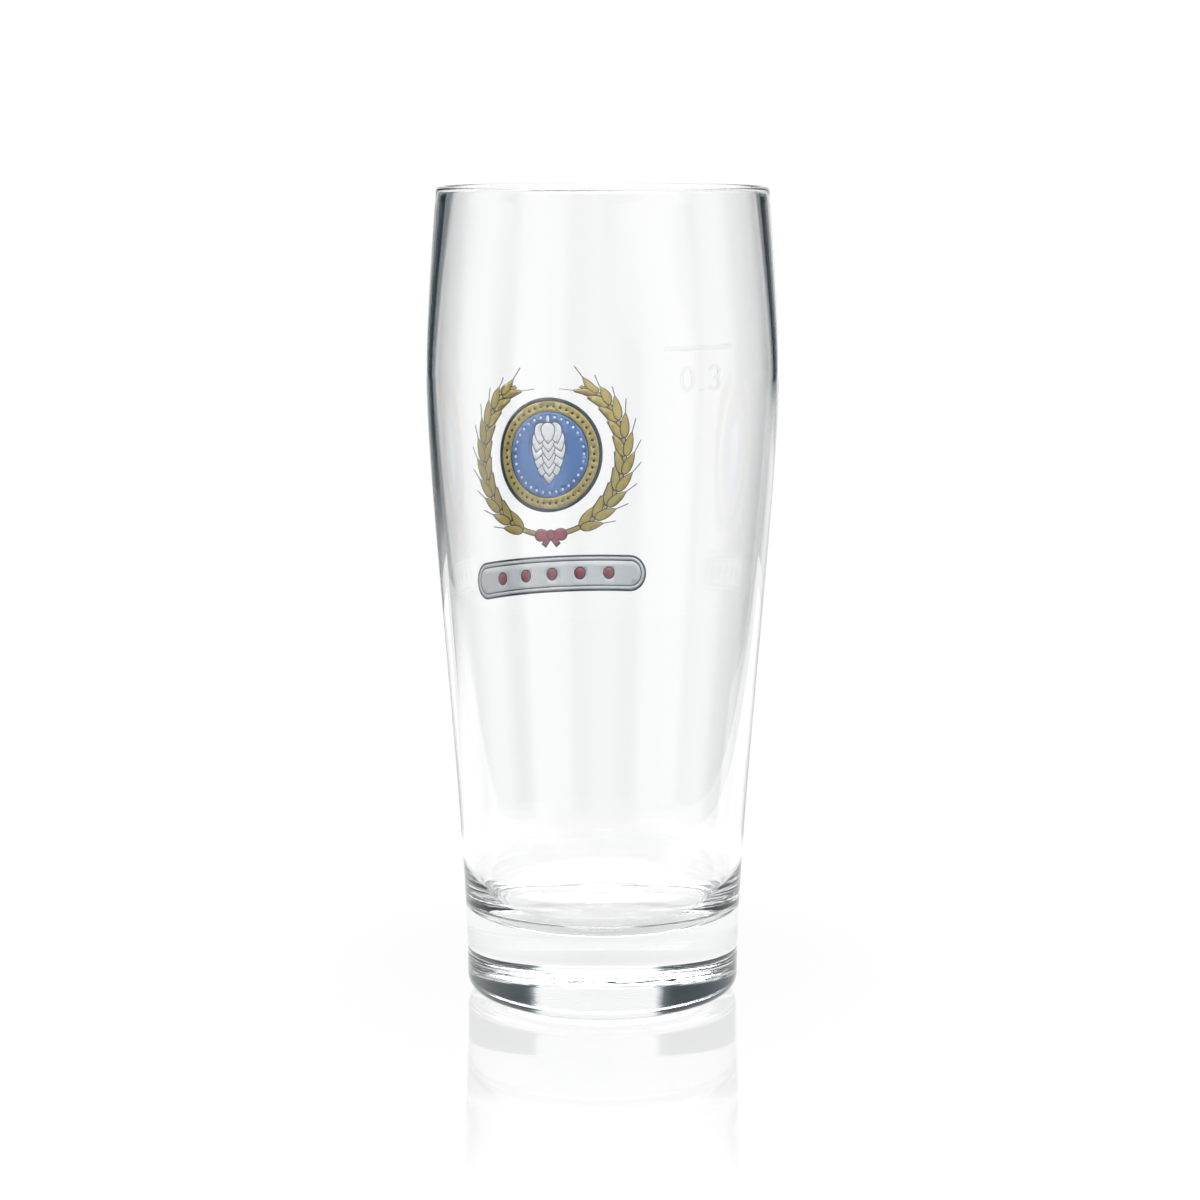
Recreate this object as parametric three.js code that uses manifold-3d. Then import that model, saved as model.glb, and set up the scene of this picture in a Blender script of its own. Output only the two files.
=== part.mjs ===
// A tall beer tumbler: one clear glass body with a thick base, a coloured enamel print fired on the back
// of its wall and a pale fill mark on the front. Millimetres, +Z up, origin at the middle of the base.
import * as THREE from 'three';
import { mergeVertices } from 'three/addons/utils/BufferGeometryUtils.js';
import Module from 'manifold-3d';

const wasm = await Module();
wasm.setup();

// Outer wall: heights are measured from the table, and each reach is how far the wall keeps its direction
const FOOT_DIAMETER = 53.4;
const FOOT_ROUNDING = 3.4;
const FOOT_REACH = 30.3;
const BELLY_DIAMETER = 68;
const BELLY_HEIGHT = 121.8;
const BELLY_REACH_BELOW = 23.5;
const BELLY_REACH_ABOVE = 5.9;
const RIM_DIAMETER = 63.8;
const RIM_RISE = 35.7;
const RIM_REACH = 25.9;
const RIM_LEAN = 0.08;

// Cavity and underside
const RIM_WALL = 2;
const BELLY_WALL = 1.2;
const FOOT_WALL = 2.4;
const BASE_THICKNESS = 16;
const FLOOR_ROUNDING_WIDTH = 5.9;
const FLOOR_ROUNDING_HEIGHT = 11.7;
const BEARING_RING_WIDTH = 4;
const PUNT_DEPTH = 0.4;

// Enamel: every film lies this far off the facets of the glass, and colours keep a hairline between them
const FILM_CLEARANCE = 0.06;
const FILM_THICKNESS = 0.12;
const COLOUR_GAP = 0.16;

// Print on the back of the wall: a medallion with a hop cone, two barley ears, a tie and a band
const PRINT_AZIMUTH = 200;
const MEDALLION_HEIGHT = 102.2;
const FIELD_RADIUS = 8.6;
const GOLD_RING_WIDTH = 2;
const OUTLINE_WIDTH = 0.7;
const HOP_MARGIN = 2.4;
const HOP_PETAL_RADIUS = 1.7;
const HOP_PETAL_SPREAD = 2.5;
const HOP_ROWS = 5;
const WREATH_CLEARANCE = 2.4;
const WREATH_OPENING = 50;
const STEM_WIDTH = 0.8;
const GRAIN_LENGTH = 4.6;
const GRAIN_WIDTH = 1.9;
const GRAIN_PAIRS = 9;
const GRAIN_ANGLE = 24;
const TIE_WIDTH = 7;
const TIE_HEIGHT = 3;
const BAND_CLEARANCE = 2.8;
const BAND_WIDTH = 43;
const BAND_HEIGHT = 7.4;
const BAND_FRAME_WIDTH = 0.6;
const BAND_DOTS = 5;
const BAND_DOT_RADIUS = 1.1;
const BAND_DOT_PITCH = 6.5;

// Fill mark on the front of the wall
const FILL_AZIMUTH = 32;
const FILL_LINE_DROP = 28.7;
const FILL_LINE_LENGTH = 15;
const FILL_LINE_WIDTH = 0.9;
const DIGIT_HEIGHT = 5;
const DIGIT_WIDTH = 3;
const DIGIT_STROKE = 0.7;
const DIGIT_SPACE = 1.1;
const DIGIT_CLEARANCE = 2.6;
const DIGIT_OPENING = 20;

// Facets
const TURN_SEGMENTS = 48;
const LOWER_WALL_STEPS = 14;
const UPPER_WALL_STEPS = 7;
const ROUND_STEPS = 6;
const PUNT_STEPS = 4;
const LARGE_CURVE_STEPS = 12;
const SMALL_CURVE_STEPS = 4;
const SMALL_OUTLINE = 16;
const MERGE_DISTANCE = 1e-4;

const footRadius = FOOT_DIAMETER / 2;
const bellyRadius = BELLY_DIAMETER / 2;
const rimRadius = RIM_DIAMETER / 2;
const beadRadius = RIM_WALL / 2;
const rimHeight = BELLY_HEIGHT + RIM_RISE;
const beadHeight = rimHeight - beadRadius;
const degrees = THREE.MathUtils.degToRad;
const point = (x, y) => new THREE.Vector2(x, y);

// Outer wall from the foot to the rim bead, as radius and height
function outerWall() {
  const lower = new THREE.CubicBezierCurve(
    point(footRadius, FOOT_ROUNDING),
    point(footRadius, FOOT_ROUNDING + FOOT_REACH),
    point(bellyRadius, BELLY_HEIGHT - BELLY_REACH_BELOW),
    point(bellyRadius, BELLY_HEIGHT),
  );
  const upper = new THREE.CubicBezierCurve(
    point(bellyRadius, BELLY_HEIGHT),
    point(bellyRadius, BELLY_HEIGHT + BELLY_REACH_ABOVE),
    point(rimRadius + RIM_LEAN * RIM_REACH, beadHeight - RIM_REACH),
    point(rimRadius, beadHeight),
  );
  return [...lower.getPoints(LOWER_WALL_STEPS), ...upper.getPoints(UPPER_WALL_STEPS).slice(1)];
}

const wallOutline = outerWall();

// Outer radius of the wall's facets at a height
function radiusAt(height) {
  const above = wallOutline.findIndex((corner) => corner.y >= height);
  const high = wallOutline[Math.max(above, 1)];
  const low = wallOutline[Math.max(above, 1) - 1];
  const share = (height - low.y) / (high.y - low.y);
  return THREE.MathUtils.lerp(low.x, high.x, share);
}

// Inner radius of the wall, which is thinnest at the belly and thickens towards the rim and the cavity floor
function innerRadiusAt(height) {
  const [end, endWall] = height > BELLY_HEIGHT ? [beadHeight, RIM_WALL] : [BASE_THICKNESS, FOOT_WALL];
  const share = (height - BELLY_HEIGHT) / (end - BELLY_HEIGHT);
  return radiusAt(height) - THREE.MathUtils.lerp(BELLY_WALL, endWall, share);
}

// Corners of an arc of an oval, given by its two half sizes, both ends included
function arcCorners(centre, across, up, from, to, steps) {
  const arc = new THREE.EllipseCurve(
    centre.x, centre.y, across, up, degrees(from), degrees(to), from > to,
  );
  return arc.getPoints(steps);
}

// Underside: a shallow dome that leaves a flat ring to stand on, then the rounded foot
function underside() {
  const ringOuter = footRadius - FOOT_ROUNDING;
  const ringInner = ringOuter - BEARING_RING_WIDTH;
  const domeRadius = (ringInner ** 2 + PUNT_DEPTH ** 2) / (2 * PUNT_DEPTH);
  const domeHalfAngle = THREE.MathUtils.radToDeg(Math.asin(ringInner / domeRadius));
  const domeCentre = point(0, PUNT_DEPTH - domeRadius);
  return [
    ...arcCorners(domeCentre, domeRadius, domeRadius, 90, 90 - domeHalfAngle, PUNT_STEPS).slice(1, -1),
    point(ringInner, 0),
    ...arcCorners(point(ringOuter, FOOT_ROUNDING), FOOT_ROUNDING, FOOT_ROUNDING, 270, 360, ROUND_STEPS),
  ];
}

// Cavity from the rim bead down to the rounded edge of its floor
function cavity() {
  const floorEdge = BASE_THICKNESS + FLOOR_ROUNDING_HEIGHT;
  const roundingCentre = point(innerRadiusAt(floorEdge) - FLOOR_ROUNDING_WIDTH, floorEdge);
  const wall = wallOutline.filter((corner) => corner.y > floorEdge && corner.y < beadHeight).reverse();
  return [
    ...wall.map((corner) => point(innerRadiusAt(corner.y), corner.y)),
    ...arcCorners(roundingCentre, FLOOR_ROUNDING_WIDTH, FLOOR_ROUNDING_HEIGHT, 360, 270, ROUND_STEPS),
  ];
}

// A closed outline of radius and height turned about the vertical axis
function turned(outline) {
  return new THREE.LatheGeometry(outline, TURN_SEGMENTS).rotateX(Math.PI / 2);
}

function glassBody() {
  const beadCentre = point(rimRadius - beadRadius, beadHeight);
  const bead = arcCorners(beadCentre, beadRadius, beadRadius, 0, 180, ROUND_STEPS);
  return turned([
    point(0, PUNT_DEPTH),
    ...underside(),
    ...wallOutline.slice(1, -1),
    ...bead,
    ...cavity(),
    point(0, BASE_THICKNESS),
  ]);
}

// Joining and cutting
function solid(geometry) {
  const bare = geometry.clone();
  bare.deleteAttribute('normal');
  bare.deleteAttribute('uv');
  const merged = mergeVertices(bare, MERGE_DISTANCE);
  return new wasm.Manifold(new wasm.Mesh({
    numProp: 3,
    vertProperties: merged.attributes.position.array,
    triVerts: new Uint32Array(merged.index.array),
  }));
}

function geometryOf(made) {
  const mesh = made.getMesh();
  const geometry = new THREE.BufferGeometry();
  geometry.setAttribute('position', new THREE.BufferAttribute(mesh.vertProperties, 3));
  geometry.setIndex(new THREE.BufferAttribute(mesh.triVerts, 1));
  geometry.computeVertexNormals();
  return geometry;
}

// A thin shell over the whole outer wall, from which every film of enamel is cut
function enamelShell() {
  const inside = wallOutline.map((corner) => point(corner.x + FILM_CLEARANCE, corner.y));
  const outside = inside.map((corner) => point(corner.x + FILM_THICKNESS, corner.y)).reverse();
  return solid(turned([...outside, ...inside, outside[0]].reverse()));
}

const shell = enamelShell();

// An artwork outline, given along the wall and up it, as a prism that leaves the axis through the wall
function prism(outline, height, azimuth) {
  const bend = radiusAt(height);
  const flat = (corners) => corners.map((corner) => point(bend * Math.sin(corner.x / bend), corner.y));
  const steps = outline.getLength() < SMALL_OUTLINE ? SMALL_CURVE_STEPS : LARGE_CURVE_STEPS;
  const shape = new THREE.Shape(flat(outline.getPoints(steps)));
  shape.holes = outline.holes.map((hole) => new THREE.Path(flat(hole.getPoints(steps))));
  const depth = BELLY_DIAMETER;
  const geometry = new THREE.ExtrudeGeometry(shape, { depth, bevelEnabled: false, steps: 1 });
  geometry.rotateX(Math.PI / 2).translate(0, 0, height).rotateZ(degrees(azimuth));
  return solid(geometry);
}

// A film of enamel: the joined outlines, less the cut ones, within the shell
function film(place, outlines, cuts = []) {
  const prisms = (list) => list.map((outline) => prism(outline, place.height, place.azimuth));
  const joined = prisms(outlines).reduce((sum, next) => sum.add(next));
  const left = prisms(cuts).reduce((rest, cut) => rest.subtract(cut), joined);
  return geometryOf(shell.intersect(left));
}

// Artwork outlines, across and up from the middle of the medallion or of the number
function disc(x, y, radius) {
  return new THREE.Shape().absarc(x, y, radius, 0, 2 * Math.PI);
}

function ring(x, y, radius, width) {
  const shape = disc(x, y, radius);
  shape.holes.push(new THREE.Path().absarc(x, y, radius - width, 0, 2 * Math.PI));
  return shape;
}

function oval(x, y, halfLength, halfWidth, turn) {
  return new THREE.Shape().absellipse(x, y, halfLength, halfWidth, 0, 2 * Math.PI, false, degrees(turn));
}

// A stroke of even width along an arc, its ends square
function arcStroke(x, y, radius, width, from, to) {
  const shape = new THREE.Shape().absarc(x, y, radius + width / 2, degrees(from), degrees(to), from > to);
  return shape.absarc(x, y, radius - width / 2, degrees(to), degrees(from), from < to);
}

// A bar with round ends
function pill(x, y, width, height) {
  const end = height / 2;
  const run = width / 2 - end;
  const shape = new THREE.Shape().absarc(x + run, y, end, -Math.PI / 2, Math.PI / 2);
  return shape.absarc(x - run, y, end, Math.PI / 2, 1.5 * Math.PI);
}

function bar(x, y, width, height) {
  return new THREE.Shape([
    point(x - width / 2, y - height / 2),
    point(x + width / 2, y - height / 2),
    point(x + width / 2, y + height / 2),
    point(x - width / 2, y + height / 2),
  ]);
}

// Hanging hop cone: rows of round petals that narrow to the tip below, grown outwards by a margin
function hopCone(margin) {
  const petals = [];
  const highest = FIELD_RADIUS - HOP_MARGIN - HOP_PETAL_RADIUS;
  for (let row = 0; row < HOP_ROWS; row += 1) {
    const share = row / (HOP_ROWS - 1);
    const y = THREE.MathUtils.lerp(highest, -highest, share);
    const spread = HOP_PETAL_SPREAD * Math.sin(Math.PI * Math.sqrt(share));
    for (const side of [-1, 0, 1]) {
      petals.push(disc(side * spread, y, HOP_PETAL_RADIUS + margin));
    }
  }
  return petals;
}

const goldRingRadius = FIELD_RADIUS + COLOUR_GAP + GOLD_RING_WIDTH;
const outlineRadius = goldRingRadius + COLOUR_GAP + OUTLINE_WIDTH;
const grainReach = GRAIN_WIDTH / 2 + Math.hypot(
  GRAIN_LENGTH / 2 * Math.sin(degrees(GRAIN_ANGLE)),
  GRAIN_WIDTH / 2 * Math.cos(degrees(GRAIN_ANGLE)),
);
const wreathRadius = outlineRadius + WREATH_CLEARANCE + grainReach;
const bandDrop = wreathRadius + TIE_HEIGHT / 2 + BAND_CLEARANCE + BAND_HEIGHT / 2;

// Barley ear on one side of the medallion, its stem rising from below
function barleyEar(side) {
  const mirrored = (angle) => (side > 0 ? angle : 180 - angle);
  const tip = 90 - WREATH_OPENING / 2;
  const root = -90 + THREE.MathUtils.radToDeg((TIE_WIDTH / 2 + COLOUR_GAP) / wreathRadius);
  const stem = arcStroke(0, 0, wreathRadius, STEM_WIDTH, mirrored(root), mirrored(tip));
  const pitch = (tip - root) / (GRAIN_PAIRS + 1);
  const outlines = [stem];
  for (let pair = 1; pair <= GRAIN_PAIRS; pair += 1) {
    const angle = root + (pair + 0.5) * pitch;
    for (const lean of [-1, 1]) {
      const along = degrees(angle);
      const grainRadius = wreathRadius + lean * (GRAIN_WIDTH / 2);
      const x = side * grainRadius * Math.cos(along);
      const y = grainRadius * Math.sin(along);
      const turn = mirrored(angle + 90 - lean * GRAIN_ANGLE);
      outlines.push(oval(x, y, GRAIN_LENGTH / 2, GRAIN_WIDTH / 2, turn));
    }
  }
  return outlines;
}

// Tie where the two stems meet: a bow of two loops and a knot
function tie() {
  const y = -wreathRadius;
  const loop = TIE_WIDTH / 4;
  return [
    oval(-loop, y, loop, TIE_HEIGHT / 2, 0),
    oval(loop, y, loop, TIE_HEIGHT / 2, 0),
    disc(0, y, TIE_HEIGHT / 2),
  ];
}

const bandInnerWidth = BAND_WIDTH - 2 * (BAND_FRAME_WIDTH + COLOUR_GAP);
const bandInnerHeight = BAND_HEIGHT - 2 * (BAND_FRAME_WIDTH + COLOUR_GAP);

function bandDot(index, margin) {
  const x = (index - (BAND_DOTS - 1) / 2) * BAND_DOT_PITCH;
  return disc(x, -bandDrop, BAND_DOT_RADIUS + margin);
}

const dotNumbers = [...Array(BAND_DOTS).keys()];
const bandOuter = pill(0, -bandDrop, BAND_WIDTH, BAND_HEIGHT);
const bandHole = pill(0, -bandDrop, BAND_WIDTH - 2 * BAND_FRAME_WIDTH, BAND_HEIGHT - 2 * BAND_FRAME_WIDTH);
const bandInner = pill(0, -bandDrop, bandInnerWidth, bandInnerHeight);

// Number under the fill line: nought, point and three
const digitPitch = DIGIT_WIDTH / 2 + DIGIT_SPACE + DIGIT_STROKE / 2;

function nought() {
  const shape = oval(-digitPitch, 0, DIGIT_WIDTH / 2, DIGIT_HEIGHT / 2, 0);
  const hole = new THREE.Path().absellipse(
    -digitPitch, 0, DIGIT_WIDTH / 2 - DIGIT_STROKE, DIGIT_HEIGHT / 2 - DIGIT_STROKE, 0, 2 * Math.PI,
  );
  shape.holes.push(hole);
  return shape;
}

function three() {
  const radius = (DIGIT_HEIGHT + DIGIT_STROKE) / 4 - DIGIT_STROKE / 2;
  return [
    arcStroke(digitPitch, radius, radius, DIGIT_STROKE, -90, 180 - DIGIT_OPENING),
    arcStroke(digitPitch, -radius, radius, DIGIT_STROKE, DIGIT_OPENING - 180, 90),
  ];
}

const decimalPoint = disc(0, (DIGIT_STROKE - DIGIT_HEIGHT) / 2, DIGIT_STROKE / 2);

// Materials
const enamel = (color) => new THREE.MeshStandardMaterial({ color, roughness: 0.35, metalness: 0 });
const clearGlass = new THREE.MeshStandardMaterial({
  color: 0xf1f5f4, roughness: 0.03, metalness: 0, transparent: true, opacity: 0.3,
});
const gold = enamel(0xa6924a);
const blue = enamel(0x4f78b8);
const white = enamel(0xe6e9ee);
const grey = enamel(0xc3c8ce);
const red = enamel(0xb0606c);
const dark = enamel(0x3d5566);
const pale = enamel(0xe2e6e8);

// Assembly
const tumbler = new THREE.Group();

function add(name, geometry, material) {
  const mesh = new THREE.Mesh(geometry, material);
  mesh.name = name;
  tumbler.add(mesh);
}

const medallion = { height: MEDALLION_HEIGHT, azimuth: PRINT_AZIMUTH };
const fillLine = { height: rimHeight - FILL_LINE_DROP, azimuth: FILL_AZIMUTH };
const digitDrop = FILL_LINE_WIDTH / 2 + DIGIT_CLEARANCE + DIGIT_HEIGHT / 2;
const number = { height: fillLine.height - digitDrop, azimuth: FILL_AZIMUTH };

add('glass_body', glassBody(), clearGlass);
add('print_medallion_outline', film(medallion, [ring(0, 0, outlineRadius, OUTLINE_WIDTH)]), dark);
add('print_medallion_ring', film(medallion, [ring(0, 0, goldRingRadius, GOLD_RING_WIDTH)]), gold);
add('print_medallion_field', film(medallion, [disc(0, 0, FIELD_RADIUS)], hopCone(COLOUR_GAP)), blue);
add('print_hop_cone', film(medallion, hopCone(0)), white);
add('print_barley_ear_left', film(medallion, barleyEar(-1)), gold);
add('print_barley_ear_right', film(medallion, barleyEar(1)), gold);
add('print_tie', film(medallion, tie()), red);
add('print_band_frame', film(medallion, [bandOuter], [bandHole]), dark);
const dotGaps = dotNumbers.map((index) => bandDot(index, COLOUR_GAP));
add('print_band_field', film(medallion, [bandInner], dotGaps), grey);
for (const index of dotNumbers) {
  add(`print_band_dot_${index + 1}`, film(medallion, [bandDot(index, 0)]), red);
}
add('fill_line', film(fillLine, [bar(0, 0, FILL_LINE_LENGTH, FILL_LINE_WIDTH)]), pale);
add('fill_number_nought', film(number, [nought()]), pale);
add('fill_number_point', film(number, [decimalPoint]), pale);
add('fill_number_three', film(number, three()), pale);

export default tumbler;
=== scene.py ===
"""The looks of a tall clear beer tumbler with a fired print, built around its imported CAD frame."""
import math

import bmesh
import bpy
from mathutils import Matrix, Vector, noise
from mathutils.geometry import delaunay_2d_cdt, interpolate_bezier


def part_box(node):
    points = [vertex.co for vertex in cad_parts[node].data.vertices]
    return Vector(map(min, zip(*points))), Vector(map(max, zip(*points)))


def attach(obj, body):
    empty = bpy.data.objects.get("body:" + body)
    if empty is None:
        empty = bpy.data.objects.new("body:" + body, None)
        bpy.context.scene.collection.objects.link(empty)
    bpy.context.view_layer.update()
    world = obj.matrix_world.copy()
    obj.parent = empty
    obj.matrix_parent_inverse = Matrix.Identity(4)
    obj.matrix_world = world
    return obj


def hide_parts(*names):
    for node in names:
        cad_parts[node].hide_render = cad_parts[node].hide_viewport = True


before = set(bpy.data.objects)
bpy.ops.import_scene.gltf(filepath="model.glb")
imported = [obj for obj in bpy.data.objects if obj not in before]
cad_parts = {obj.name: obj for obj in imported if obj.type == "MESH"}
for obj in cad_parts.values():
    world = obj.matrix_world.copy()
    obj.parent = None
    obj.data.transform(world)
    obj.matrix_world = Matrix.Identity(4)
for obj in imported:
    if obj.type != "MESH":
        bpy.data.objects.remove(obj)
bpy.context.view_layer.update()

# Glass body
# One piece of clear soda-lime glass blown into a mould: a solid base, a wall that swells into a belly below
# the mouth and a rim melted round by a flame. The underside is hollowed and stands on a ring.
_, glass_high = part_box("glass_body")
RIM_HEIGHT = glass_high.z
BELLY_RADIUS = glass_high.x
FOOT_RADIUS = 0.0267
FOOT_ROUNDING = 0.0034
FOOT_REACH = 0.0303
BELLY_DROP = 0.0357
BELLY_HEIGHT = RIM_HEIGHT - BELLY_DROP
BELLY_REACH_BELOW = 0.0235
BELLY_REACH_ABOVE = 0.0059
RIM_RADIUS = 0.0319
RIM_REACH = 0.0259
RIM_LEAN = 0.08
RIM_WALL = 0.002
BELLY_WALL = 0.0012
FOOT_WALL = 0.0024
BASE_THICKNESS = 0.016
FLOOR_ROUNDING_WIDTH = 0.0059
FLOOR_ROUNDING_HEIGHT = 0.0117
RING_WIDTH = 0.004
PUNT_DEPTH = 0.0004
STIPPLE_DEPTH = 0.00008
STIPPLE_TOP = 0.002
STIPPLE_PITCH = 0.0011
WAVE_DEPTH = 0.00001
WAVE_LENGTH = 0.016
LOWER_WALL_STEPS = 64
UPPER_WALL_STEPS = 36
ROUND_STEPS = 18
FLOOR_STEPS = 10
RING_STEPS = 8
TURN_SEGMENTS = 192
GLASS_IOR = 1.52
GLASS_COLOUR = (1.0, 1.0, 1.0, 1.0)
GLASS_ROUGHNESS = 0.0
GLASS_TINT = (0.80, 0.83, 0.83, 1.0)
TINT_DENSITY = 9.0

bead_radius = RIM_WALL / 2
bead_height = RIM_HEIGHT - bead_radius


def curve_points(start, start_handle, end_handle, end, steps):
    """Radius and height along a cubic curve, both ends included."""
    corners = [Vector((*corner, 0)) for corner in (start, start_handle, end_handle, end)]
    return [point.to_2d() for point in interpolate_bezier(*corners, steps + 1)]


lower_wall = curve_points(
    (FOOT_RADIUS, FOOT_ROUNDING),
    (FOOT_RADIUS, FOOT_ROUNDING + FOOT_REACH),
    (BELLY_RADIUS, BELLY_HEIGHT - BELLY_REACH_BELOW),
    (BELLY_RADIUS, BELLY_HEIGHT),
    LOWER_WALL_STEPS,
)
upper_wall = curve_points(
    (BELLY_RADIUS, BELLY_HEIGHT),
    (BELLY_RADIUS, BELLY_HEIGHT + BELLY_REACH_ABOVE),
    (RIM_RADIUS + RIM_LEAN * RIM_REACH, bead_height - RIM_REACH),
    (RIM_RADIUS, bead_height),
    UPPER_WALL_STEPS,
)
outer_wall = lower_wall + upper_wall[1:]


def wall_radius(height):
    """Outer radius of the wall at a height."""
    for low, high in zip(outer_wall, outer_wall[1:]):
        if height <= high.y:
            break
    return low.x + (high.x - low.x) * (height - low.y) / (high.y - low.y)


def inner_radius(height):
    """Inner radius of the wall, which is thinnest at the belly and thickens towards both ends."""
    if height > BELLY_HEIGHT:
        end, end_wall = bead_height, RIM_WALL
    else:
        end, end_wall = BASE_THICKNESS, FOOT_WALL
    share = (height - BELLY_HEIGHT) / (end - BELLY_HEIGHT)
    return wall_radius(height) - BELLY_WALL - (end_wall - BELLY_WALL) * share


def arc_points(centre, across, up, start, end, steps):
    """Points of an oval's arc from one angle to another, both ends included."""
    points = []
    for step in range(steps + 1):
        angle = math.radians(start + (end - start) * step / steps)
        points.append(Vector((centre[0] + across * math.cos(angle), centre[1] + up * math.sin(angle))))
    return points


def line_points(start, end, steps):
    """Evenly spaced points of a straight line, without its first one."""
    return [Vector(start).lerp(Vector(end), step / steps) for step in range(1, steps + 1)]


def glass_outline():
    """Radius and height round the section of the glass, from under its base to the floor inside."""
    ring_outer = FOOT_RADIUS - FOOT_ROUNDING
    ring_inner = ring_outer - RING_WIDTH
    dome_radius = (ring_inner ** 2 + PUNT_DEPTH ** 2) / (2 * PUNT_DEPTH)
    dome_angle = math.degrees(math.asin(ring_inner / dome_radius))
    dome_middle = (0, PUNT_DEPTH - dome_radius)
    dome = arc_points(dome_middle, dome_radius, dome_radius, 90, 90 - dome_angle, FLOOR_STEPS)
    ring = line_points((ring_inner, 0), (ring_outer, 0), RING_STEPS)
    foot_middle = (ring_outer, FOOT_ROUNDING)
    foot = arc_points(foot_middle, FOOT_ROUNDING, FOOT_ROUNDING, 270, 360, ROUND_STEPS)
    bead_middle = (RIM_RADIUS - bead_radius, bead_height)
    bead = arc_points(bead_middle, bead_radius, bead_radius, 0, 180, ROUND_STEPS)
    floor_edge = BASE_THICKNESS + FLOOR_ROUNDING_HEIGHT
    inner_wall = []
    for corner in reversed(outer_wall[:-1]):
        if corner.y > floor_edge:
            inner_wall.append(Vector((inner_radius(corner.y), corner.y)))
    rounding_middle = (inner_radius(floor_edge) - FLOOR_ROUNDING_WIDTH, floor_edge)
    rounding = arc_points(rounding_middle, FLOOR_ROUNDING_WIDTH, FLOOR_ROUNDING_HEIGHT, 0, -90, ROUND_STEPS)
    floor = line_points(rounding[-1], (0, BASE_THICKNESS), FLOOR_STEPS)
    return dome + ring + foot[1:] + outer_wall[1:-1] + bead + inner_wall + rounding + floor


def turned(outline, segments):
    """A closed mesh of revolution from an outline that starts and ends on the axis."""
    mesh = bmesh.new()
    bottom = mesh.verts.new((0, 0, outline[0].y))
    top = mesh.verts.new((0, 0, outline[-1].y))
    rings = []
    for corner in outline[1:-1]:
        ring = []
        for segment in range(segments):
            angle = 2 * math.pi * segment / segments
            place = (corner.x * math.cos(angle), corner.x * math.sin(angle), corner.y)
            ring.append(mesh.verts.new(place))
        rings.append(ring)
    for segment in range(segments):
        after = (segment + 1) % segments
        mesh.faces.new((bottom, rings[0][after], rings[0][segment]))
        mesh.faces.new((top, rings[-1][segment], rings[-1][after]))
        for low, high in zip(rings, rings[1:]):
            mesh.faces.new((low[segment], low[after], high[after], high[segment]))
    return mesh


def weather(mesh):
    """Stipples the ring that the glass stands on, and makes the blown inside slightly wavy."""
    mesh.normal_update()
    for corner in mesh.verts:
        place = corner.co
        if place.z < STIPPLE_TOP:
            grain = abs(noise.noise(place / STIPPLE_PITCH))
            place.z += STIPPLE_DEPTH * grain * (1 - place.z / STIPPLE_TOP)
        elif place.z >= BASE_THICKNESS and place.to_2d().length < wall_radius(place.z) - bead_radius:
            corner.co = place + corner.normal * WAVE_DEPTH * noise.noise(place / WAVE_LENGTH)


def placed(name, mesh):
    """A smooth-shaded object in the scene that holds a finished mesh."""
    for face in mesh.faces:
        face.smooth = True
    data = bpy.data.meshes.new(name)
    mesh.to_mesh(data)
    mesh.free()
    made = bpy.data.objects.new(name, data)
    bpy.context.scene.collection.objects.link(made)
    return made


def clear_glass():
    """Clear glass with the faint green of its iron, which only shows where the glass is thick."""
    material = bpy.data.materials.new("clear_glass")
    material.use_nodes = True
    tree = material.node_tree
    shader = tree.nodes["Principled BSDF"]
    shader.inputs["Base Color"].default_value = GLASS_COLOUR
    shader.inputs["Roughness"].default_value = GLASS_ROUGHNESS
    shader.inputs["IOR"].default_value = GLASS_IOR
    shader.inputs["Transmission Weight"].default_value = 1.0
    tint = tree.nodes.new("ShaderNodeVolumeAbsorption")
    tint.inputs["Color"].default_value = GLASS_TINT
    tint.inputs["Density"].default_value = TINT_DENSITY
    tree.links.new(tint.outputs["Volume"], tree.nodes["Material Output"].inputs["Volume"])
    return material


glass_mesh = turned(glass_outline(), TURN_SEGMENTS)
weather(glass_mesh)
glass = placed("tumbler_glass", glass_mesh)
glass.data.materials.append(clear_glass())
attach(glass, "root")
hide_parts("glass_body")

# Print, medallion
# A round badge of enamel on the back of the wall: ground coloured glass in oil, screened on one colour
# after another and melted on in a kiln. A dark line, a beaded gold ring and a blue field frame a hop cone.
PRINT_AZIMUTH = 200.0
PRINT_HEIGHT = 0.1022
FILM_LIFT = 0.00003
FILM_THICKNESS = 0.00006
FILM_GRID = 0.0012
JOIN_DISTANCE = 1e-7
SHARP_ANGLE = math.radians(40)
FIELD_RADIUS = 0.0086
HAIRLINE = 0.00022
GOLD_RING_WIDTH = 0.0021
OUTLINE_WIDTH = 0.00075
RING_BEADS = 44
RING_BEAD_RADIUS = 0.0003
PEARLS = 32
PEARL_RADIUS = 0.00027
PEARL_INSET = 0.0009
HOP_ROWS = 6
HOP_TOP = 0.0044
HOP_ROW_PITCH = 0.00165
HOP_SCALE_WIDTH = 0.0036
HOP_SCALE_LENGTH = 0.0042
HOP_SPREADS = (0.0016, 0.0022, 0.0024, 0.0020, 0.0014, 0.0)
HOP_LEAN_LENGTH = 0.0084
HOP_STALK_RISE = 0.00105
HOP_STALK_WIDTH = 0.0007
HOP_STALK_LENGTH = 0.0022
ROUND_CORNERS = 96
SMALL_CORNERS = 28
TIP_SHARPNESS = 0.8
GRAIN_PITCH = 0.00035
GRAIN_RELIEF = 0.000006
GLOSS_PITCH = 0.004
ENAMEL_ROUGHNESS = (0.25, 0.5)
DARK_SHADES = ((0.020, 0.040, 0.062, 1), (0.040, 0.066, 0.092, 1))
GOLD_SHADES = ((0.42, 0.33, 0.10, 1), (0.56, 0.45, 0.15, 1))
BLUE_SHADES = ((0.085, 0.19, 0.46, 1), (0.13, 0.26, 0.56, 1))
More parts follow.
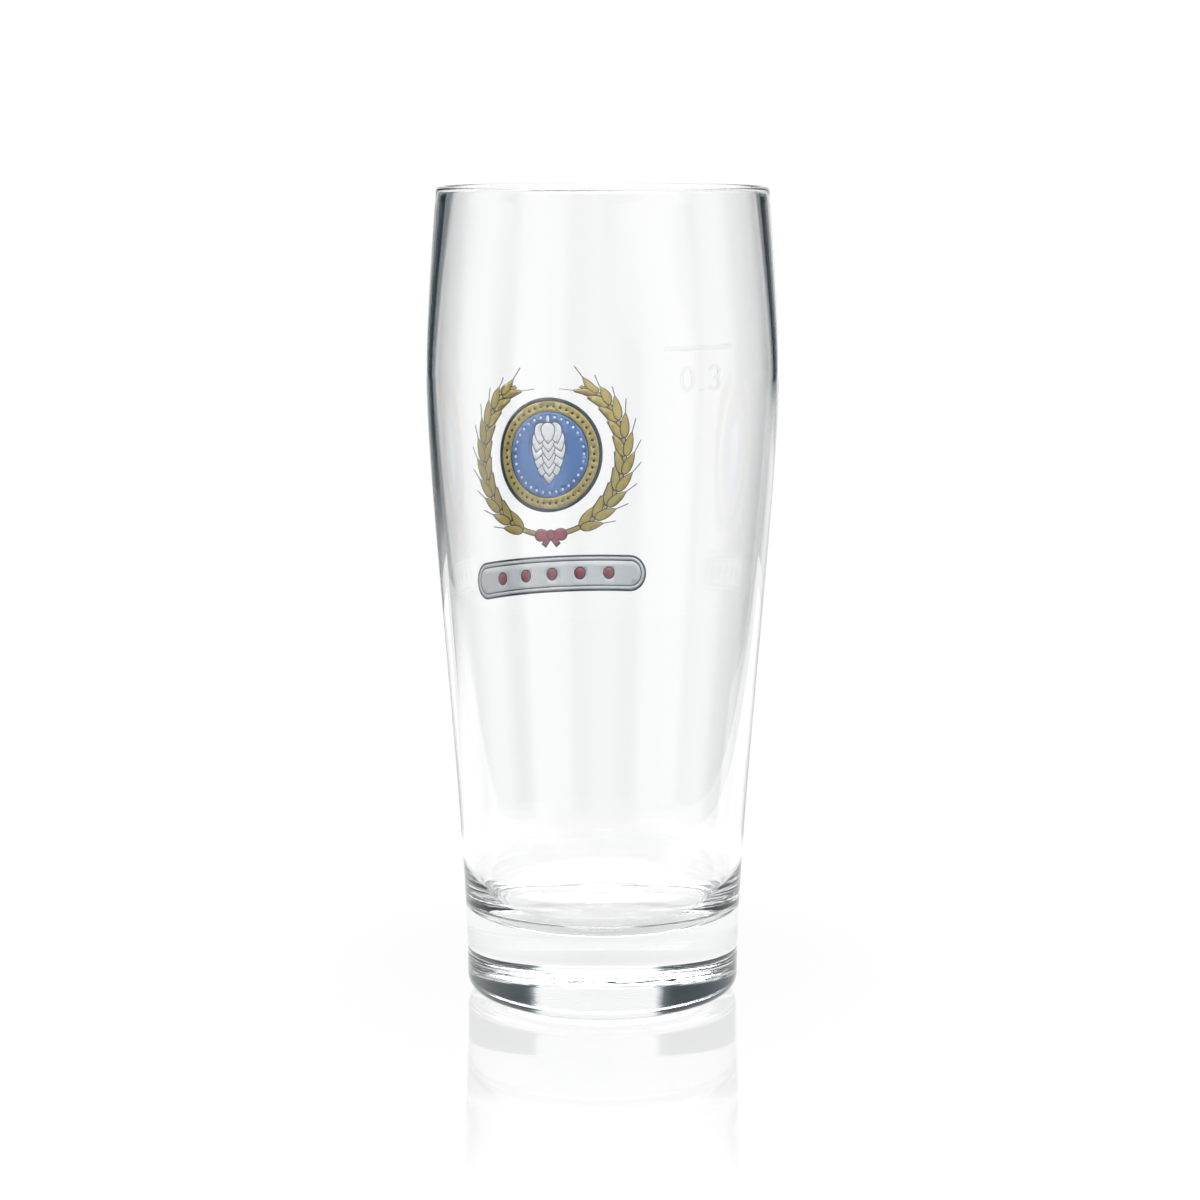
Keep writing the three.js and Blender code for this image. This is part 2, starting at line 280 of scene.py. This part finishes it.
WHITE_SHADES = ((0.78, 0.80, 0.83, 1), (0.88, 0.89, 0.91, 1))


def oval(x, y, across, up, corners=SMALL_CORNERS):
    """Corners of an oval, given by its middle and its two half sizes."""
    outline = []
    for corner in range(corners):
        angle = 2 * math.pi * corner / corners
        outline.append(Vector((x + across * math.cos(angle), y + up * math.sin(angle))))
    return outline


def drop(x, y, length, width, turn):
    """Corners of a drop shape whose tip points along its turn, given in degrees."""
    lean = math.radians(turn)
    outline = []
    for corner in range(SMALL_CORNERS):
        angle = 2 * math.pi * corner / SMALL_CORNERS
        along = length / 2 * math.cos(angle)
        beside = width / 2 * math.sin(angle) * math.sin(angle / 2) ** TIP_SHARPNESS
        outline.append(Vector((
            x + along * math.cos(lean) - beside * math.sin(lean),
            y + along * math.sin(lean) + beside * math.cos(lean),
        )))
    return outline


def stroke(path, width):
    """Corners of a line of even width along a path of points, its ends square."""
    left = []
    right = []
    for before, here, after in zip([path[0]] + path[:-1], path, path[1:] + [path[-1]]):
        side = (after - before).orthogonal().normalized() * width / 2
        left.append(here + side)
        right.append(here - side)
    return right + left[::-1]


def cut_films(layers):
    """Cuts layers of artwork, each painted over those before it, into triangles for each film's name."""
    corners = []
    outlines = []
    for name, outline in layers:
        outlines.append(list(range(len(corners), len(corners) + len(outline))))
        corners += outline
    reach = max(max(abs(corner.x), abs(corner.y)) for corner in corners) + FILM_GRID
    lines = math.ceil(reach / FILM_GRID)
    grid = []
    for line in range(-lines, lines + 1):
        place = line * FILM_GRID
        for ends in (((place, -reach), (place, reach)), ((-reach, place), (reach, place))):
            grid.append((len(corners), len(corners) + 1))
            corners += [Vector(end) for end in ends]
    points, _, triangles, _, _, sources = delaunay_2d_cdt(corners, grid, outlines, 0, JOIN_DISTANCE)
    films = {}
    for triangle, source in zip(triangles, sources):
        if source:
            films.setdefault(layers[max(source)][0], []).append(triangle)
    return points, films


def film_mesh(points, triangles, azimuth, height):
    """A closed mesh of even thickness over triangles of artwork, bent round the wall."""
    mesh = bmesh.new()
    bend = wall_radius(height)
    raised = {}

    def corner(index, lift):
        if (index, lift) not in raised:
            turn = math.radians(azimuth) + points[index].x / bend
            level = height + points[index].y
            radius = wall_radius(level) + lift
            place = (radius * math.sin(turn), -radius * math.cos(turn), level)
            raised[index, lift] = mesh.verts.new(place)
        return raised[index, lift]

    top = FILM_LIFT + FILM_THICKNESS
    edges = set()
    for triangle in triangles:
        edges.update(zip(triangle, triangle[1:] + triangle[:1]))
        mesh.faces.new([corner(index, top) for index in triangle])
        mesh.faces.new([corner(index, FILM_LIFT) for index in reversed(triangle)])
    for start, end in sorted(edges):
        if (end, start) not in edges:
            places = ((end, top), (start, top), (start, FILM_LIFT), (end, FILM_LIFT))
            mesh.faces.new([corner(*place) for place in places])
    for edge in mesh.edges:
        edge.smooth = edge.calc_face_angle(0) < SHARP_ANGLE
    return mesh


def enamel(slot, shades):
    """Fired enamel: a colour broken by the fine grain of the screen, with a slightly uneven satin gloss."""
    material = bpy.data.materials.new(slot)
    material.use_nodes = True
    tree = material.node_tree
    shader = tree.nodes["Principled BSDF"]
    place = tree.nodes.new("ShaderNodeTexCoord")
    grain = tree.nodes.new("ShaderNodeTexNoise")
    grain.inputs["Scale"].default_value = 1 / GRAIN_PITCH
    tree.links.new(place.outputs["Object"], grain.inputs["Vector"])
    colours = tree.nodes.new("ShaderNodeValToRGB")
    for stop, shade in zip(colours.color_ramp.elements, shades):
        stop.color = shade
    tree.links.new(grain.outputs["Fac"], colours.inputs["Fac"])
    tree.links.new(colours.outputs["Color"], shader.inputs["Base Color"])
    gloss = tree.nodes.new("ShaderNodeTexNoise")
    gloss.inputs["Scale"].default_value = 1 / GLOSS_PITCH
    tree.links.new(place.outputs["Object"], gloss.inputs["Vector"])
    spread = tree.nodes.new("ShaderNodeMapRange")
    spread.inputs["To Min"].default_value, spread.inputs["To Max"].default_value = ENAMEL_ROUGHNESS
    tree.links.new(gloss.outputs["Fac"], spread.inputs["Value"])
    tree.links.new(spread.outputs["Result"], shader.inputs["Roughness"])
    relief = tree.nodes.new("ShaderNodeBump")
    relief.inputs["Distance"].default_value = GRAIN_RELIEF
    tree.links.new(grain.outputs["Fac"], relief.inputs["Height"])
    tree.links.new(relief.outputs["Normal"], shader.inputs["Normal"])
    return material


enamels = {
    "dark_enamel": enamel("dark_enamel", DARK_SHADES),
    "gold_enamel": enamel("gold_enamel", GOLD_SHADES),
    "blue_enamel": enamel("blue_enamel", BLUE_SHADES),
    "white_enamel": enamel("white_enamel", WHITE_SHADES),
}


def fire(layers, azimuth, height, slots):
    """Makes each film of some artwork. Slots gives its material slot and the CAD node that it replaces."""
    points, films = cut_films(layers)
    for name, (slot, node) in slots.items():
        made = placed(name, film_mesh(points, films[name], azimuth, height))
        made.data.materials.append(enamels[slot])
        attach(made, "root")
        if node:
            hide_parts(node)


def hop_cone():
    """Layers of a hanging hop cone: rows of pointed scales, each row lapping over the one below it."""
    stalk_foot = HOP_TOP + HOP_STALK_RISE
    stalk = [Vector((0, stalk_foot)), Vector((0, stalk_foot + HOP_STALK_LENGTH))]
    layers = [("hop_cone", stroke(stalk, HOP_STALK_WIDTH))]
    for row in reversed(range(HOP_ROWS)):
        y = HOP_TOP - row * HOP_ROW_PITCH
        spread = HOP_SPREADS[row]
        for x in sorted({-spread, 0.0, spread}, key=abs, reverse=True):
            lean = math.degrees(math.atan2(x, HOP_LEAN_LENGTH))
            for name, margin in (("hop_lines", HAIRLINE), ("hop_cone", 0)):
                size = (HOP_SCALE_LENGTH + 2 * margin, HOP_SCALE_WIDTH + 2 * margin)
                layers.append((name, drop(x, y, *size, lean - 90)))
    return layers


gold_radius = FIELD_RADIUS + HAIRLINE + GOLD_RING_WIDTH
outline_radius = gold_radius + OUTLINE_WIDTH
medallion = []
for name, radius in (
    ("medallion_outline", outline_radius),
    ("medallion_ring", gold_radius),
    ("medallion_outline", FIELD_RADIUS + HAIRLINE),
    ("medallion_field", FIELD_RADIUS),
):
    medallion.append((name, oval(0, 0, radius, radius, corners=ROUND_CORNERS)))
for name, count, radius, size in (
    ("medallion_beads", RING_BEADS, gold_radius - GOLD_RING_WIDTH / 2, RING_BEAD_RADIUS),
    ("medallion_pearls", PEARLS, FIELD_RADIUS - PEARL_INSET, PEARL_RADIUS),
):
    for number in range(count):
        turn = 2 * math.pi * number / count
        medallion.append((name, oval(radius * math.cos(turn), radius * math.sin(turn), size, size)))
medallion += hop_cone()
fire(medallion, PRINT_AZIMUTH, PRINT_HEIGHT, {
    "medallion_outline": ("dark_enamel", "print_medallion_outline"),
    "medallion_ring": ("gold_enamel", "print_medallion_ring"),
    "medallion_field": ("blue_enamel", "print_medallion_field"),
    "medallion_beads": ("dark_enamel", None),
    "medallion_pearls": ("white_enamel", None),
    "hop_cone": ("white_enamel", "print_hop_cone"),
    "hop_lines": ("dark_enamel", None),
})

# Print, barley ears
# Two bent ears of barley beside the medallion, screened on with the same gold enamel and fired with it.
# Each has a stem and pairs of grains, and dark enamel draws the edge of every grain and its awn.
WREATH_RADIUS = 0.01625
WREATH_OPENING = 50.0
EAR_ROOT = 13.0
STEM_WIDTH = 0.0007
STEM_STEPS = 40
GRAIN_PAIRS = 10
GRAIN_LENGTH = 0.0049
GRAIN_WIDTH = 0.0021
GRAIN_ANGLE = 22.0
AWN_ROOT = 0.00196
AWN_LENGTH = 0.0034
AWN_WIDTH = 0.00018


def barley_ear(side, gold, lines):
    """Layers of one ear: its stem, and pairs of grains with their awns from the root to the tip."""
    root = EAR_ROOT - 90
    tip = 90 - WREATH_OPENING / 2

    def spot(angle, radius):
        turn = math.radians(angle)
        return Vector((side * radius * math.cos(turn), radius * math.sin(turn)))

    stem = []
    for step in range(STEM_STEPS + 1):
        stem.append(spot(root + (tip - root) * step / STEM_STEPS, WREATH_RADIUS))
    layers = [(lines, stroke(stem, STEM_WIDTH + 2 * HAIRLINE)), (gold, stroke(stem, STEM_WIDTH))]
    pitch = (tip - root) / (GRAIN_PAIRS + 1)
    for pair in range(1, GRAIN_PAIRS + 1):
        angle = root + pair * pitch + pitch / 2
        for lean in (-1, 1):
            middle = spot(angle, WREATH_RADIUS + lean * GRAIN_WIDTH / 2)
            turn = angle + 90 - lean * GRAIN_ANGLE
            if side < 0:
                turn = 180 - turn
            ahead = Vector((math.cos(math.radians(turn)), math.sin(math.radians(turn))))
            point = middle + ahead * AWN_ROOT
            layers.append((lines, stroke([point, point + ahead * AWN_LENGTH], AWN_WIDTH)))
            for name, margin in ((lines, HAIRLINE), (gold, 0)):
                size = (GRAIN_LENGTH + 2 * margin, GRAIN_WIDTH + 2 * margin)
                layers.append((name, drop(*middle, *size, turn)))
    return layers


for side, name in ((-1, "left"), (1, "right")):
    gold, lines = f"barley_ear_{name}", f"barley_lines_{name}"
    fire(barley_ear(side, gold, lines), PRINT_AZIMUTH, PRINT_HEIGHT, {
        gold: ("gold_enamel", f"print_barley_ear_{name}"),
        lines: ("dark_enamel", None),
    })

# Print, tie
# A small bow where the two stems meet, with two loops, a knot and two tails. It is screened on in dull
# red enamel, with a thin line of the dark enamel round its edge.
TIE_LOOP_LENGTH = 0.0036
TIE_LOOP_WIDTH = 0.0028
TIE_KNOT_RADIUS = 0.00085
TIE_TAIL_LENGTH = 0.0026
TIE_TAIL_WIDTH = 0.0009
TIE_TAIL_ANGLE = 38.0
RED_SHADES = ((0.36, 0.085, 0.115, 1), (0.47, 0.125, 0.155, 1))

enamels["red_enamel"] = enamel("red_enamel", RED_SHADES)
knot = Vector((0, -WREATH_RADIUS))
bow = []
for name, margin in (("ribbon_lines", HAIRLINE), ("ribbon_tie", 0)):
    for side in (-1, 1):
        lean = math.radians(-90 + side * TIE_TAIL_ANGLE)
        tail = Vector((math.cos(lean), math.sin(lean))) * (TIE_TAIL_LENGTH + margin)
        bow.append((name, stroke([knot, knot + tail], TIE_TAIL_WIDTH + 2 * margin)))
        loop = (TIE_LOOP_LENGTH + 2 * margin, TIE_LOOP_WIDTH + 2 * margin)
        bow.append((name, drop(side * TIE_LOOP_LENGTH / 2, knot.y, *loop, 90 + side * 90)))
for name, margin in (("ribbon_lines", HAIRLINE), ("ribbon_tie", 0)):
    bow.append((name, oval(*knot, TIE_KNOT_RADIUS + margin, TIE_KNOT_RADIUS + margin)))
fire(bow, PRINT_AZIMUTH, PRINT_HEIGHT, {
    "ribbon_tie": ("red_enamel", "print_tie"),
    "ribbon_lines": ("dark_enamel", None),
})

# Print, band
# A grey strip with round ends below the wreath, in a thin dark frame with a hairline inside it and a row
# of red dots. Each colour is its own film of enamel, screened and fired with the rest of the print.
BAND_DROP = 0.02425
BAND_WIDTH = 0.043
BAND_HEIGHT = 0.0074
BAND_FRAME_WIDTH = 0.0004
BAND_LINE_INSET = 0.0006
BAND_DOTS = 5
BAND_DOT_RADIUS = 0.0011
BAND_DOT_PITCH = 0.0065
GREY_SHADES = ((0.74, 0.77, 0.80, 1), (0.83, 0.86, 0.88, 1))


def pill(width, height):
    """Corners of a bar with round ends that lies across the band's middle."""
    end = height / 2
    run = width / 2 - end
    outline = []
    for side, start in ((1, -90), (-1, 90)):
        outline += [
            Vector((side * run, -BAND_DROP)) + corner
            for corner in arc_points((0, 0), end, end, start, start + 180, SMALL_CORNERS)
        ]
    return outline


enamels["grey_enamel"] = enamel("grey_enamel", GREY_SHADES)
band = []
for name, inset in (
    ("band_frame", 0),
    ("band_field", BAND_FRAME_WIDTH),
    ("band_frame", BAND_FRAME_WIDTH + BAND_LINE_INSET),
    ("band_field", BAND_FRAME_WIDTH + BAND_LINE_INSET + HAIRLINE),
):
    band.append((name, pill(BAND_WIDTH - 2 * inset, BAND_HEIGHT - 2 * inset)))
band_films = {
    "band_frame": ("dark_enamel", "print_band_frame"),
    "band_field": ("grey_enamel", "print_band_field"),
}
for number in range(BAND_DOTS):
    x = (number - (BAND_DOTS - 1) / 2) * BAND_DOT_PITCH
    name = f"band_dot_{number + 1}"
    rim = BAND_DOT_RADIUS + HAIRLINE
    band.append(("band_frame", oval(x, -BAND_DROP, rim, rim)))
    band.append((name, oval(x, -BAND_DROP, BAND_DOT_RADIUS, BAND_DOT_RADIUS)))
    band_films[name] = ("red_enamel", f"print_{name}")
fire(band, PRINT_AZIMUTH, PRINT_HEIGHT, band_films)

# Fill mark
# A line on the front up to which the glass is filled, with the number of litres under it. It is stamped
# on in a thin pale frit, ground glass without colour, that melts on in the kiln and only frosts the wall.
FILL_AZIMUTH = 32.0
FILL_LINE_DROP = 0.0287
FILL_LINE_LENGTH = 0.015
FILL_LINE_WIDTH = 0.0009
DIGIT_HEIGHT = 0.005
DIGIT_WIDTH = 0.003
DIGIT_STROKE = 0.0007
DIGIT_SPACE = 0.0011
DIGIT_CLEARANCE = 0.0026
DIGIT_OPENING = 20.0
FROST_COLOUR = (0.955, 0.96, 0.965, 1)
FROST_ROUGHNESS = (0.1, 0.3)
FROST_IOR = 1.06


def frosted_mark():
    """Clear frit with a rough skin, which scatters light a little."""
    material = bpy.data.materials.new("pale_enamel")
    material.use_nodes = True
    tree = material.node_tree
    shader = tree.nodes["Principled BSDF"]
    shader.inputs["Base Color"].default_value = FROST_COLOUR
    shader.inputs["IOR"].default_value = FROST_IOR
    shader.inputs["Transmission Weight"].default_value = 1.0
    place = tree.nodes.new("ShaderNodeTexCoord")
    grain = tree.nodes.new("ShaderNodeTexNoise")
    grain.inputs["Scale"].default_value = 1 / GRAIN_PITCH
    tree.links.new(place.outputs["Object"], grain.inputs["Vector"])
    spread = tree.nodes.new("ShaderNodeMapRange")
    spread.inputs["To Min"].default_value, spread.inputs["To Max"].default_value = FROST_ROUGHNESS
    tree.links.new(grain.outputs["Fac"], spread.inputs["Value"])
    tree.links.new(spread.outputs["Result"], shader.inputs["Roughness"])
    return material


enamels["pale_enamel"] = frosted_mark()
digit_pitch = DIGIT_WIDTH / 2 + DIGIT_SPACE + DIGIT_STROKE / 2
digit_drop = FILL_LINE_WIDTH / 2 + DIGIT_CLEARANCE + DIGIT_HEIGHT / 2
bow_radius = (DIGIT_HEIGHT + DIGIT_STROKE) / 4 - DIGIT_STROKE / 2
half_line = Vector((FILL_LINE_LENGTH / 2, 0))
bow_end = 180 - DIGIT_OPENING
upper_bow = arc_points((digit_pitch, bow_radius), bow_radius, bow_radius, -90, bow_end, SMALL_CORNERS)
lower_bow = arc_points((digit_pitch, -bow_radius), bow_radius, bow_radius, -bow_end, 90, SMALL_CORNERS)
point_drop = (DIGIT_STROKE - DIGIT_HEIGHT) / 2
half_width, half_height = DIGIT_WIDTH / 2, DIGIT_HEIGHT / 2
fill_line = [("fill_mark_line", stroke([-half_line, half_line], FILL_LINE_WIDTH))]
fill_number = [
    ("fill_mark_nought", oval(-digit_pitch, 0, half_width, half_height)),
    ("bare_glass", oval(-digit_pitch, 0, half_width - DIGIT_STROKE, half_height - DIGIT_STROKE)),
    ("fill_mark_point", oval(0, point_drop, DIGIT_STROKE / 2, DIGIT_STROKE / 2)),
    ("fill_mark_three", stroke(upper_bow, DIGIT_STROKE)),
    ("fill_mark_three", stroke(lower_bow, DIGIT_STROKE)),
]
line_height = RIM_HEIGHT - FILL_LINE_DROP
fire(fill_line, FILL_AZIMUTH, line_height, {"fill_mark_line": ("pale_enamel", "fill_line")})
fire(fill_number, FILL_AZIMUTH, line_height - digit_drop, {
    f"fill_mark_{name}": ("pale_enamel", f"fill_number_{name}") for name in ("nought", "point", "three")
})

# Table
# A white acrylic light table that the glass stands on. It glows softly from below, less in front of the
# glass than behind it, and its polish mirrors the foot weakly. It reaches far back only behind the glass.
NARROW_RADIUS = 0.13
WIDE_RADIUS = 0.42
TABLE_SIDES = ((WIDE_RADIUS, -40, 40), (NARROW_RADIUS, 40, 320))
TABLE_STEPS = 48
TABLE_DROP = 0.0001
TABLE_COLOUR = (0.012, 0.012, 0.012, 1)
FRONT_GLOW = 0.45
BACK_GLOW = 1.0
SEEN_GLOW = 1.0
GLOW_EDGE = (-0.06, 0.05)
GLOW_SPREAD = 0.9
MIRROR_ROUGHNESS = 0.04
MIRROR_STRENGTH = 0.26
MIRROR_REACH = 0.14

table_mesh = bmesh.new()
table_corners = []
for radius, first, last in TABLE_SIDES:
    for step in range(TABLE_STEPS + 1):
        turn = math.radians(first + (last - first) * step / TABLE_STEPS)
        place = (radius * math.sin(turn), radius * math.cos(turn), -TABLE_DROP)
        table_corners.append(table_mesh.verts.new(place))
table_face = table_mesh.faces.new(reversed(table_corners))
bmesh.ops.triangulate(table_mesh, faces=[table_face])
table = placed("table", table_mesh)


def light_table():
    """Matte glowing white, with a polish that only the camera sees and that fades away from the foot."""
    material = bpy.data.materials.new("light_table")
    material.use_nodes = True
    tree = material.node_tree
    tree.nodes.remove(tree.nodes["Principled BSDF"])
    matte = tree.nodes.new("ShaderNodeBsdfDiffuse")
    matte.inputs["Color"].default_value = TABLE_COLOUR
    path = tree.nodes.new("ShaderNodeLightPath")
    place = tree.nodes.new("ShaderNodeTexCoord")
    sides = tree.nodes.new("ShaderNodeSeparateXYZ")
    tree.links.new(place.outputs["Object"], sides.inputs[0])
    backward = tree.nodes.new("ShaderNodeMapRange")
    backward.inputs["From Min"].default_value, backward.inputs["From Max"].default_value = GLOW_EDGE
    backward.inputs["To Min"].default_value = FRONT_GLOW
    backward.inputs["To Max"].default_value = BACK_GLOW
    sideways = tree.nodes.new("ShaderNodeMath")
    sideways.operation = "ABSOLUTE"
    tree.links.new(sides.outputs["X"], sideways.inputs[0])
    past_front = tree.nodes.new("ShaderNodeMath")
    past_front.operation = "MULTIPLY_ADD"
    tree.links.new(sideways.outputs[0], past_front.inputs[0])
    past_front.inputs[1].default_value = GLOW_SPREAD
    tree.links.new(sides.outputs["Y"], past_front.inputs[2])
    tree.links.new(past_front.outputs[0], backward.inputs["Value"])
    brightness = tree.nodes.new("ShaderNodeMix")
    tree.links.new(path.outputs["Is Camera Ray"], brightness.inputs["Factor"])
    tree.links.new(backward.outputs["Result"], brightness.inputs["A"])
    brightness.inputs["B"].default_value = SEEN_GLOW
    glow = tree.nodes.new("ShaderNodeEmission")
    tree.links.new(brightness.outputs["Result"], glow.inputs["Strength"])
    lit = tree.nodes.new("ShaderNodeAddShader")
    tree.links.new(matte.outputs[0], lit.inputs[0])
    tree.links.new(glow.outputs[0], lit.inputs[1])
    polish = tree.nodes.new("ShaderNodeBsdfGlossy")
    polish.inputs["Roughness"].default_value = MIRROR_ROUGHNESS
    distance = tree.nodes.new("ShaderNodeVectorMath")
    distance.operation = "LENGTH"
    tree.links.new(place.outputs["Object"], distance.inputs[0])
    fade = tree.nodes.new("ShaderNodeMapRange")
    fade.interpolation_type = "SMOOTHSTEP"
    fade.inputs["From Min"].default_value = FOOT_RADIUS
    fade.inputs["From Max"].default_value = MIRROR_REACH
    fade.inputs["To Min"].default_value = MIRROR_STRENGTH
    fade.inputs["To Max"].default_value = 0.0
    tree.links.new(distance.outputs["Value"], fade.inputs["Value"])
    share = tree.nodes.new("ShaderNodeMath")
    share.operation = "MULTIPLY"
    tree.links.new(fade.outputs["Result"], share.inputs[0])
    tree.links.new(path.outputs["Is Camera Ray"], share.inputs[1])
    mixed = tree.nodes.new("ShaderNodeMixShader")
    tree.links.new(share.outputs[0], mixed.inputs["Fac"])
    tree.links.new(lit.outputs[0], mixed.inputs[1])
    tree.links.new(polish.outputs[0], mixed.inputs[2])
    tree.links.new(mixed.outputs[0], tree.nodes["Material Output"].inputs["Surface"])
    return material


table.data.materials.append(light_table())

# Studio light
# White paper hangs behind the glass and widens towards its top, with dark cloth beside it that draws the
# dark edges of the glass. More paper hangs beside the cloth, and a bright floor lies below the horizon.
# A soft canopy covers everything, and a strong soft light stands high above the camera.
PAPER = (1.05, 1.05, 1.05, 1)
DIM_PAPER = (0.76, 0.78, 0.79, 1)
CLOTH = (0.018, 0.033, 0.042, 1)
SHADE = (0.08, 0.11, 0.125, 1)
PAPER_EDGE = (0.35, 0.38, 0.4, 1)
ROOM = (0.25, 0.28, 0.3, 1)
CANOPY = (0.8, 0.8, 0.8, 1)
FRONT_LIGHT = (15.0, 15.0, 15.0, 1)
HORIZON = (
    (-180, ROOM), (-122, ROOM), (-114, CLOTH), (-110, CLOTH),
    (-102, DIM_PAPER), (-92, PAPER), (-88, PAPER), (-78, DIM_PAPER), (-70, CLOTH),
    (-20, CLOTH), (-17, SHADE), (-15.8, PAPER_EDGE), (-14.8, PAPER),
    (18, PAPER), (19.3, PAPER_EDGE), (20.5, SHADE), (23.5, CLOTH),
    (60, CLOTH), (85, SHADE), (104, CLOTH), (113, CLOTH),
    (120, PAPER), (150, DIM_PAPER), (157, CLOTH), (164, CLOTH), (175, ROOM),
)
CANOPY_EDGE = (24.0, 32.0)
LEFT_FLOOR_EDGE = (-9.5, -13.5)
RIGHT_FLOOR_EDGE = (-6.4, -8.0)
FLOOR_MIDDLE = (-6.0, 12.0)
FLOOR_SIDES = (60.0, 8.0)
DEEP_FLOOR_EDGE = (-12.5, -15.5)
DEEP_FLOOR_MIDDLE = -45.0
DEEP_FLOOR_SIDES = (38.0, 16.0)
FRONT_EDGE = (30.0, 45.0)
FLARE_EDGE = (3.0, 10.0)
FLARE = 0.11
FRONT_SIDES = (70.0, 35.0)
FULL_TURN = 360.0
RAMP_MIDDLE = 0.5
GLASS_BOUNCES = 24
GLOSS_BOUNCES = 12

world = bpy.data.worlds.new("studio")
bpy.context.scene.world = world
world.use_nodes = True
sky = world.node_tree


def sky_math(operation, first, second):
    """The result of one sum in the sky's node tree."""
    node = sky.nodes.new("ShaderNodeMath")
    node.operation = operation
    for socket, value in zip(node.inputs, (first, second)):
        if isinstance(value, bpy.types.NodeSocket):
            sky.links.new(value, socket)
        else:
            socket.default_value = value
    return node.outputs[0]


def sky_ramp(value, start, end):
    """Goes smoothly from 0 to 1 as a value goes from start to end."""
    node = sky.nodes.new("ShaderNodeMapRange")
    node.interpolation_type = "SMOOTHSTEP"
    sky.links.new(value, node.inputs["Value"])
    node.inputs["From Min"].default_value = start
    node.inputs["From Max"].default_value = end
    return node.outputs["Result"]


def sky_mix(share, first, second):
    """The colour that lies a share of the way from the first to the second."""
    node = sky.nodes.new("ShaderNodeMix")
    node.data_type = "RGBA"
    sky.links.new(share, node.inputs["Factor"])
    for name, value in (("A", first), ("B", second)):
        socket = next(s for s in node.inputs if s.name == name and s.type == "RGBA")
        if isinstance(value, bpy.types.NodeSocket):
            sky.links.new(value, socket)
        else:
            socket.default_value = value
    return next(s for s in node.outputs if s.type == "RGBA")


direction = sky.nodes.new("ShaderNodeSeparateXYZ")
sky.links.new(sky.nodes.new("ShaderNodeTexCoord").outputs["Generated"], direction.inputs[0])
east, north, up = direction.outputs


def risen(edge):
    """Goes from 0 to 1 between two elevations, in degrees."""
    return sky_ramp(up, *[math.sin(math.radians(elevation)) for elevation in edge])


azimuth = sky_math("DIVIDE", sky_math("ARCTAN2", east, north), 2 * math.pi)
flare = sky_math("MULTIPLY", risen(FLARE_EDGE), FLARE)
flared_azimuth = sky_math("MULTIPLY", azimuth, sky_math("SUBTRACT", 1, flare))
round_about = sky.nodes.new("ShaderNodeValToRGB")
sky.links.new(sky_math("ADD", flared_azimuth, RAMP_MIDDLE), round_about.inputs["Fac"])
stops = round_about.color_ramp.elements
stops.remove(stops[1])
for place, colour in HORIZON:
    stop = stops.new(place / FULL_TURN + RAMP_MIDDLE)
    stop.color = colour
stops.remove(stops[0])
ahead = sky_math("ABSOLUTE", azimuth, 0)
in_front = sky_ramp(ahead, *[(FULL_TURN / 2 - side) / FULL_TURN for side in FRONT_SIDES])
front_share = sky_math("MULTIPLY", in_front, risen(FRONT_EDGE))


def turned_by(angle, edge):
    """Goes from 0 to 1 between two azimuths, in degrees."""
    return sky_ramp(angle, *[side / FULL_TURN for side in edge])


rightward = turned_by(azimuth, FLOOR_MIDDLE)
left_floor = sky_math("MULTIPLY", risen(LEFT_FLOOR_EDGE), sky_math("SUBTRACT", 1, rightward))
right_floor = sky_math("MULTIPLY", risen(RIGHT_FLOOR_EDGE), rightward)
both_floors = sky_math("ADD", left_floor, right_floor)
near_floor = sky_math("MULTIPLY", turned_by(ahead, FLOOR_SIDES), both_floors)
past_middle = sky_math("SUBTRACT", azimuth, DEEP_FLOOR_MIDDLE / FULL_TURN)
from_middle = sky_math("ABSOLUTE", past_middle, 0)
deep_floor = sky_math("MULTIPLY", turned_by(from_middle, DEEP_FLOOR_SIDES), risen(DEEP_FLOOR_EDGE))
floor_share = sky_math("MAXIMUM", near_floor, deep_floor)
level_colour = sky_mix(floor_share, round_about.outputs["Color"], PAPER)
lit_colour = sky_mix(front_share, sky_mix(risen(CANOPY_EDGE), level_colour, CANOPY), FRONT_LIGHT)
seen = sky_mix(sky.nodes.new("ShaderNodeLightPath").outputs["Is Camera Ray"], lit_colour, PAPER)
sky.links.new(seen, sky.nodes["Background"].inputs["Color"])

bpy.context.scene.view_settings.view_transform = "Standard"
bpy.context.scene.cycles.max_bounces = GLASS_BOUNCES
bpy.context.scene.cycles.transmission_bounces = GLASS_BOUNCES
bpy.context.scene.cycles.glossy_bounces = GLOSS_BOUNCES

# Camera
# A long lens on a stand in front of the glass, fitted to the photograph's outline. It stands a little above
# the rim and looks slightly down, so the mouth shows as a thin oval.
CAMERA_DISTANCE = 0.58
CAMERA_HEIGHT = 0.17
CAMERA_SIDEWAYS = -0.0005
CAMERA_PITCH = 9.06
CAMERA_LENS = 90.37
SENSOR_WIDTH = 36.0
NEAREST_SEEN = 0.01

camera_data = bpy.data.cameras.new("camera")
camera_data.lens = CAMERA_LENS
camera_data.sensor_width = SENSOR_WIDTH
camera_data.clip_start = NEAREST_SEEN
camera = bpy.data.objects.new("camera", camera_data)
camera.location = (CAMERA_SIDEWAYS, -CAMERA_DISTANCE, CAMERA_HEIGHT)
camera.rotation_euler = (math.radians(90 - CAMERA_PITCH), 0, 0)
bpy.context.scene.collection.objects.link(camera)
bpy.context.scene.camera = camera
